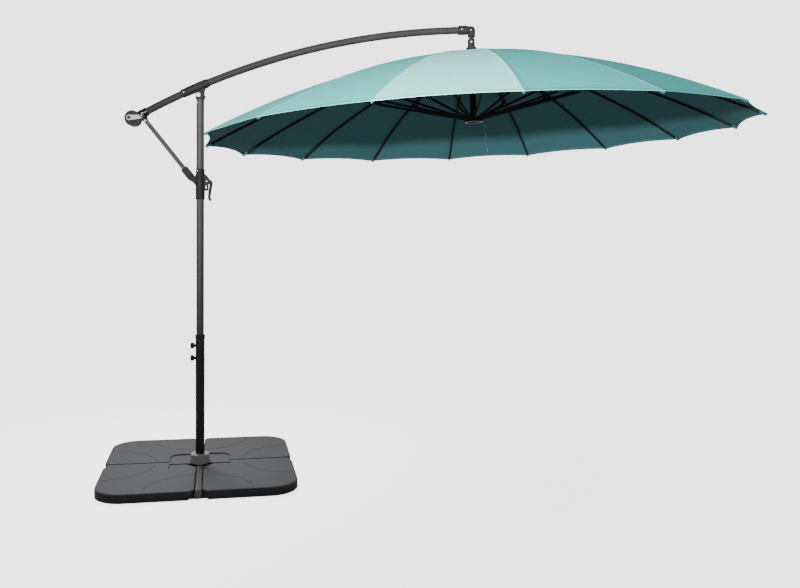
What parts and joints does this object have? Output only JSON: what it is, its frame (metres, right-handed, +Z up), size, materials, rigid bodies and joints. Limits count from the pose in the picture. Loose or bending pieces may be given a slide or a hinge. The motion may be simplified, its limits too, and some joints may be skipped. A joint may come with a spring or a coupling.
{
  "type": "cantilever parasol",
  "caption": "Free-standing cantilever parasol: a round ribbed fabric canopy hung from a curved boom on a swivelling mast in a weighted cross base.",
  "frame": {"origin": "on the mast's axis, at floor level, in the plane of the underside of the base", "axes": "+Z up along the mast, +X the way the boom reaches out to the canopy, +Y to the left of the boom seen from the mast"},
  "size_m": [3.6042, 3, 2.5312],
  "materials": {
    "slab_plastic": "grained",
    "painted_steel": "powder coated",
    "black_plastic": "satin",
    "zinc_steel": "zinc plated",
    "grey_plastic": "satin",
    "charcoal_metal": "powder coated",
    "bright_steel": "polished",
    "gloss_black": "glossy",
    "pulley_plastic": "satin",
    "canopy_fabric": "woven",
    "black_steel": "powder coated"
  },
  "bodies": {
    "base": {"base_weights": "slab_plastic", "base_cross": "painted_steel", "bar_end_caps": "black_plastic", "base_bolts": "zinc_steel", "foot_collar": "grey_plastic", "lower_mast": "painted_steel", "mast_collar": "black_plastic"},
    "mast": {"upper_mast": "charcoal_metal", "mast_head": "black_plastic"},
    "knob_upper": {"lock_knob_upper": "black_plastic"},
    "knob_lower": {"lock_knob_lower": "black_plastic"},
    "slide_unit": {"slider": "black_plastic"},
    "lever": {"slider_lever": "black_plastic"},
    "strut": {"strut_tube": "charcoal_metal", "strut_socket": "black_plastic"},
    "boom": {"boom_tube": "charcoal_metal", "boom_bracket": "black_plastic", "crank_housing": "black_plastic", "boom_elbow": "black_plastic", "frame_bolts": "zinc_steel"},
    "crank": {"crank_arm": "bright_steel"},
    "crank_grip": {"crank_knob": "gloss_black"},
    "pulley": {"cord_pulley": "pulley_plastic"},
    "hanger": {"canopy_yoke": "black_plastic", "canopy_pole": "charcoal_metal", "crown_hub": "black_plastic", "canopy": "canopy_fabric"},
    "runner_body": {"runner": "black_plastic"},
    "rib_01": {"rib_01": "black_steel"},
    "rib_02": {"rib_02": "black_steel"},
    "rib_03": {"rib_03": "black_steel"},
    "rib_04": {"rib_04": "black_steel"},
    "rib_05": {"rib_05": "black_steel"},
    "rib_06": {"rib_06": "black_steel"},
    "rib_07": {"rib_07": "black_steel"},
    "rib_08": {"rib_08": "black_steel"},
    "rib_09": {"rib_09": "black_steel"},
    "rib_10": {"rib_10": "black_steel"},
    "rib_11": {"rib_11": "black_steel"},
    "rib_12": {"rib_12": "black_steel"},
    "rib_13": {"rib_13": "black_steel"},
    "rib_14": {"rib_14": "black_steel"},
    "rib_15": {"rib_15": "black_steel"},
    "rib_16": {"rib_16": "black_steel"},
    "stretcher_01": {"stretcher_01": "black_steel"},
    "stretcher_02": {"stretcher_02": "black_steel"},
    "stretcher_03": {"stretcher_03": "black_steel"},
    "stretcher_04": {"stretcher_04": "black_steel"},
    "stretcher_05": {"stretcher_05": "black_steel"},
    "stretcher_06": {"stretcher_06": "black_steel"},
    "stretcher_07": {"stretcher_07": "black_steel"},
    "stretcher_08": {"stretcher_08": "black_steel"},
    "stretcher_09": {"stretcher_09": "black_steel"},
    "stretcher_10": {"stretcher_10": "black_steel"},
    "stretcher_11": {"stretcher_11": "black_steel"},
    "stretcher_12": {"stretcher_12": "black_steel"},
    "stretcher_13": {"stretcher_13": "black_steel"},
    "stretcher_14": {"stretcher_14": "black_steel"},
    "stretcher_15": {"stretcher_15": "black_steel"},
    "stretcher_16": {"stretcher_16": "black_steel"}
  },
  "joints": [
    {"name": "mast_swivel", "type": "hinge", "parent": "base", "child": "mast", "pos_m": [0, 0, 0.76], "axis": [0, 0, 1], "continuous": true},
    {"name": "knob_upper_turn", "type": "hinge", "parent": "base", "child": "knob_upper", "pos_m": [-0.04, 0, 0.719], "axis": [-1, 0, 0], "range_deg": [0, 720]},
    {"name": "knob_lower_turn", "type": "hinge", "parent": "base", "child": "knob_lower", "pos_m": [-0.04, 0, 0.648], "axis": [-1, 0, 0], "range_deg": [0, 720]},
    {"name": "boom_tilt", "type": "hinge", "parent": "mast", "child": "boom", "pos_m": [-0.006, 0, 2.113], "axis": [0, -1, 0], "range_deg": [0, 12]},
    {"name": "slider_slide", "type": "slide", "parent": "mast", "child": "slide_unit", "axis": [0, 0, 1], "range_m": [-0.0846, 0]},
    {"name": "strut_swing", "type": "hinge", "parent": "boom", "child": "strut", "pos_m": [-0.298, 0, 1.967], "axis": [0, -1, 0], "range_deg": [-18.4, 0]},
    {"name": "lever_squeeze", "type": "hinge", "parent": "slide_unit", "child": "lever", "pos_m": [0.038, 0, 1.643], "axis": [0, 1, 0], "range_deg": [0, 10], "stiffness_Nm_per_rad": 0.5, "springref_deg": -5.73},
    {"name": "canopy_tilt", "type": "hinge", "parent": "boom", "child": "hanger", "pos_m": [1.4924, 0, 2.44], "axis": [0, -1, 0], "range_deg": [0, 15]},
    {"name": "rib_01_fold", "type": "hinge", "parent": "hanger", "child": "rib_01", "pos_m": [1.45659, 0, 2.36825], "axis": [0, -1, 0], "range_deg": [0, 70], "deforming": ["canopy"]},
    {"name": "rib_02_fold", "type": "hinge", "parent": "hanger", "child": "rib_02", "pos_m": [1.45963, -0.01531, 2.36843], "axis": [0.382, -0.9239, 0.0227], "range_deg": [0, 70]},
    {"name": "rib_03_fold", "type": "hinge", "parent": "hanger", "child": "rib_03", "pos_m": [1.46829, -0.02828, 2.36895], "axis": [0.7059, -0.7071, 0.0419], "range_deg": [0, 70]},
    {"name": "rib_04_fold", "type": "hinge", "parent": "hanger", "child": "rib_04", "pos_m": [1.48124, -0.03696, 2.36971], "axis": [0.9223, -0.3827, 0.0548], "range_deg": [0, 70]},
    {"name": "rib_05_fold", "type": "hinge", "parent": "hanger", "child": "rib_05", "pos_m": [1.49652, -0.04, 2.37062], "axis": [0.9982, 0, 0.0593], "range_deg": [0, 70]},
    {"name": "rib_06_fold", "type": "hinge", "parent": "hanger", "child": "rib_06", "pos_m": [1.5118, -0.03696, 2.37153], "axis": [0.9223, 0.3827, 0.0548], "range_deg": [0, 70]},
    {"name": "rib_07_fold", "type": "hinge", "parent": "hanger", "child": "rib_07", "pos_m": [1.52476, -0.02828, 2.3723], "axis": [0.7059, 0.7071, 0.0419], "range_deg": [0, 70]},
    {"name": "rib_08_fold", "type": "hinge", "parent": "hanger", "child": "rib_08", "pos_m": [1.53341, -0.01531, 2.37281], "axis": [0.382, 0.9239, 0.0227], "range_deg": [0, 70]},
    {"name": "rib_09_fold", "type": "hinge", "parent": "hanger", "child": "rib_09", "pos_m": [1.53645, 0, 2.37299], "axis": [0, 1, 0], "range_deg": [0, 70]},
    {"name": "rib_10_fold", "type": "hinge", "parent": "hanger", "child": "rib_10", "pos_m": [1.53341, 0.01531, 2.37281], "axis": [-0.382, 0.9239, -0.0227], "range_deg": [0, 70]},
    {"name": "rib_11_fold", "type": "hinge", "parent": "hanger", "child": "rib_11", "pos_m": [1.52476, 0.02828, 2.3723], "axis": [-0.7059, 0.7071, -0.0419], "range_deg": [0, 70]},
    {"name": "rib_12_fold", "type": "hinge", "parent": "hanger", "child": "rib_12", "pos_m": [1.5118, 0.03696, 2.37153], "axis": [-0.9223, 0.3827, -0.0548], "range_deg": [0, 70]},
    {"name": "rib_13_fold", "type": "hinge", "parent": "hanger", "child": "rib_13", "pos_m": [1.49652, 0.04, 2.37062], "axis": [-0.9982, 0, -0.0593], "range_deg": [0, 70]},
    {"name": "rib_14_fold", "type": "hinge", "parent": "hanger", "child": "rib_14", "pos_m": [1.48124, 0.03696, 2.36971], "axis": [-0.9223, -0.3827, -0.0548], "range_deg": [0, 70]},
    {"name": "rib_15_fold", "type": "hinge", "parent": "hanger", "child": "rib_15", "pos_m": [1.46829, 0.02828, 2.36895], "axis": [-0.7059, -0.7071, -0.0419], "range_deg": [0, 70]},
    {"name": "rib_16_fold", "type": "hinge", "parent": "hanger", "child": "rib_16", "pos_m": [1.45963, 0.01531, 2.36843], "axis": [-0.382, -0.9239, -0.0227], "range_deg": [0, 70]},
    {"name": "stretcher_01_swing", "type": "hinge", "parent": "rib_01", "child": "stretcher_01", "pos_m": [0.77819, 0, 2.15264], "axis": [0, -1, 0], "range_deg": [-140, 0]},
    {"name": "stretcher_02_swing", "type": "hinge", "parent": "rib_02", "child": "stretcher_02", "pos_m": [0.83366, -0.27936, 2.15593], "axis": [0.382, -0.9239, 0.0227], "range_deg": [-140, 0]},
    {"name": "stretcher_03_swing", "type": "hinge", "parent": "rib_03", "child": "stretcher_03", "pos_m": [0.99162, -0.51619, 2.16532], "axis": [0.7059, -0.7071, 0.0419], "range_deg": [-140, 0]},
    {"name": "stretcher_04_swing", "type": "hinge", "parent": "rib_04", "child": "stretcher_04", "pos_m": [1.22803, -0.67443, 2.17936], "axis": [0.9223, -0.3827, 0.0548], "range_deg": [-140, 0]},
    {"name": "stretcher_05_swing", "type": "hinge", "parent": "rib_05", "child": "stretcher_05", "pos_m": [1.5069, -0.73, 2.19593], "axis": [0.9982, 0, 0.0593], "range_deg": [-140, 0]},
    {"name": "stretcher_06_swing", "type": "hinge", "parent": "rib_06", "child": "stretcher_06", "pos_m": [1.78577, -0.67443, 2.2125], "axis": [0.9223, 0.3827, 0.0548], "range_deg": [-140, 0]},
    {"name": "stretcher_07_swing", "type": "hinge", "parent": "rib_07", "child": "stretcher_07", "pos_m": [2.02218, -0.51619, 2.22654], "axis": [0.7059, 0.7071, 0.0419], "range_deg": [-140, 0]},
    {"name": "stretcher_08_swing", "type": "hinge", "parent": "rib_08", "child": "stretcher_08", "pos_m": [2.18014, -0.27936, 2.23593], "axis": [0.382, 0.9239, 0.0227], "range_deg": [-140, 0]},
    {"name": "stretcher_09_swing", "type": "hinge", "parent": "rib_09", "child": "stretcher_09", "pos_m": [2.23562, 0, 2.23922], "axis": [0, 1, 0], "range_deg": [-140, 0]},
    {"name": "stretcher_10_swing", "type": "hinge", "parent": "rib_10", "child": "stretcher_10", "pos_m": [2.18014, 0.27936, 2.23593], "axis": [-0.382, 0.9239, -0.0227], "range_deg": [-140, 0]},
    {"name": "stretcher_11_swing", "type": "hinge", "parent": "rib_11", "child": "stretcher_11", "pos_m": [2.02218, 0.51619, 2.22654], "axis": [-0.7059, 0.7071, -0.0419], "range_deg": [-140, 0]},
    {"name": "stretcher_12_swing", "type": "hinge", "parent": "rib_12", "child": "stretcher_12", "pos_m": [1.78577, 0.67443, 2.2125], "axis": [-0.9223, 0.3827, -0.0548], "range_deg": [-140, 0]},
    {"name": "stretcher_13_swing", "type": "hinge", "parent": "rib_13", "child": "stretcher_13", "pos_m": [1.5069, 0.73, 2.19593], "axis": [-0.9982, 0, -0.0593], "range_deg": [-140, 0]},
    {"name": "stretcher_14_swing", "type": "hinge", "parent": "rib_14", "child": "stretcher_14", "pos_m": [1.22803, 0.67443, 2.17936], "axis": [-0.9223, -0.3827, -0.0548], "range_deg": [-140, 0]},
    {"name": "stretcher_15_swing", "type": "hinge", "parent": "rib_15", "child": "stretcher_15", "pos_m": [0.99162, 0.51619, 2.16532], "axis": [-0.7059, -0.7071, -0.0419], "range_deg": [-140, 0]},
    {"name": "stretcher_16_swing", "type": "hinge", "parent": "rib_16", "child": "stretcher_16", "pos_m": [0.83366, 0.27936, 2.15593], "axis": [-0.382, -0.9239, -0.0227], "range_deg": [-140, 0]},
    {"name": "runner_level", "type": "hinge", "parent": "stretcher_01", "child": "runner_body", "pos_m": [1.47735, 0, 2.01887], "axis": [0, -1, 0], "range_deg": [0, 70]},
    {"name": "crank_turn", "type": "hinge", "parent": "boom", "child": "crank", "pos_m": [-0.38, 0, 1.978], "axis": [0, -1, 0], "range_deg": [0, 4325]},
    {"name": "crank_grip_spin", "type": "hinge", "parent": "crank", "child": "crank_grip", "pos_m": [-0.302, 0, 1.986], "axis": [0, -1, 0], "continuous": true},
    {"name": "pulley_turn", "type": "hinge", "parent": "boom", "child": "pulley", "pos_m": [1.487, 0, 2.503], "axis": [0, -1, 0], "range_deg": [0, 5555]}
  ],
  "couplings": [
    {"joint": "slider_slide", "follows": "boom_tilt", "m_per_rad": -0.40216},
    {"joint": "strut_swing", "follows": "boom_tilt", "ratio": -1.5272},
    {"joint": "rib_02_fold", "follows": "rib_01_fold", "ratio": 1},
    {"joint": "rib_03_fold", "follows": "rib_01_fold", "ratio": 1},
    {"joint": "rib_04_fold", "follows": "rib_01_fold", "ratio": 1},
    {"joint": "rib_05_fold", "follows": "rib_01_fold", "ratio": 1},
    {"joint": "rib_06_fold", "follows": "rib_01_fold", "ratio": 1},
    {"joint": "rib_07_fold", "follows": "rib_01_fold", "ratio": 1},
    {"joint": "rib_08_fold", "follows": "rib_01_fold", "ratio": 1},
    {"joint": "rib_09_fold", "follows": "rib_01_fold", "ratio": 1},
    {"joint": "rib_10_fold", "follows": "rib_01_fold", "ratio": 1},
    {"joint": "rib_11_fold", "follows": "rib_01_fold", "ratio": 1},
    {"joint": "rib_12_fold", "follows": "rib_01_fold", "ratio": 1},
    {"joint": "rib_13_fold", "follows": "rib_01_fold", "ratio": 1},
    {"joint": "rib_14_fold", "follows": "rib_01_fold", "ratio": 1},
    {"joint": "rib_15_fold", "follows": "rib_01_fold", "ratio": 1},
    {"joint": "rib_16_fold", "follows": "rib_01_fold", "ratio": 1},
    {"joint": "stretcher_01_swing", "follows": "rib_01_fold", "ratio": -2},
    {"joint": "stretcher_02_swing", "follows": "rib_01_fold", "ratio": -2},
    {"joint": "stretcher_03_swing", "follows": "rib_01_fold", "ratio": -2},
    {"joint": "stretcher_04_swing", "follows": "rib_01_fold", "ratio": -2},
    {"joint": "stretcher_05_swing", "follows": "rib_01_fold", "ratio": -2},
    {"joint": "stretcher_06_swing", "follows": "rib_01_fold", "ratio": -2},
    {"joint": "stretcher_07_swing", "follows": "rib_01_fold", "ratio": -2},
    {"joint": "stretcher_08_swing", "follows": "rib_01_fold", "ratio": -2},
    {"joint": "stretcher_09_swing", "follows": "rib_01_fold", "ratio": -2},
    {"joint": "stretcher_10_swing", "follows": "rib_01_fold", "ratio": -2},
    {"joint": "stretcher_11_swing", "follows": "rib_01_fold", "ratio": -2},
    {"joint": "stretcher_12_swing", "follows": "rib_01_fold", "ratio": -2},
    {"joint": "stretcher_13_swing", "follows": "rib_01_fold", "ratio": -2},
    {"joint": "stretcher_14_swing", "follows": "rib_01_fold", "ratio": -2},
    {"joint": "stretcher_15_swing", "follows": "rib_01_fold", "ratio": -2},
    {"joint": "stretcher_16_swing", "follows": "rib_01_fold", "ratio": -2},
    {"joint": "runner_level", "follows": "rib_01_fold", "ratio": 1},
    {"joint": "crank_turn", "follows": "rib_01_fold", "ratio": 61.714},
    {"joint": "pulley_turn", "follows": "rib_01_fold", "ratio": 79.3}
  ]
}
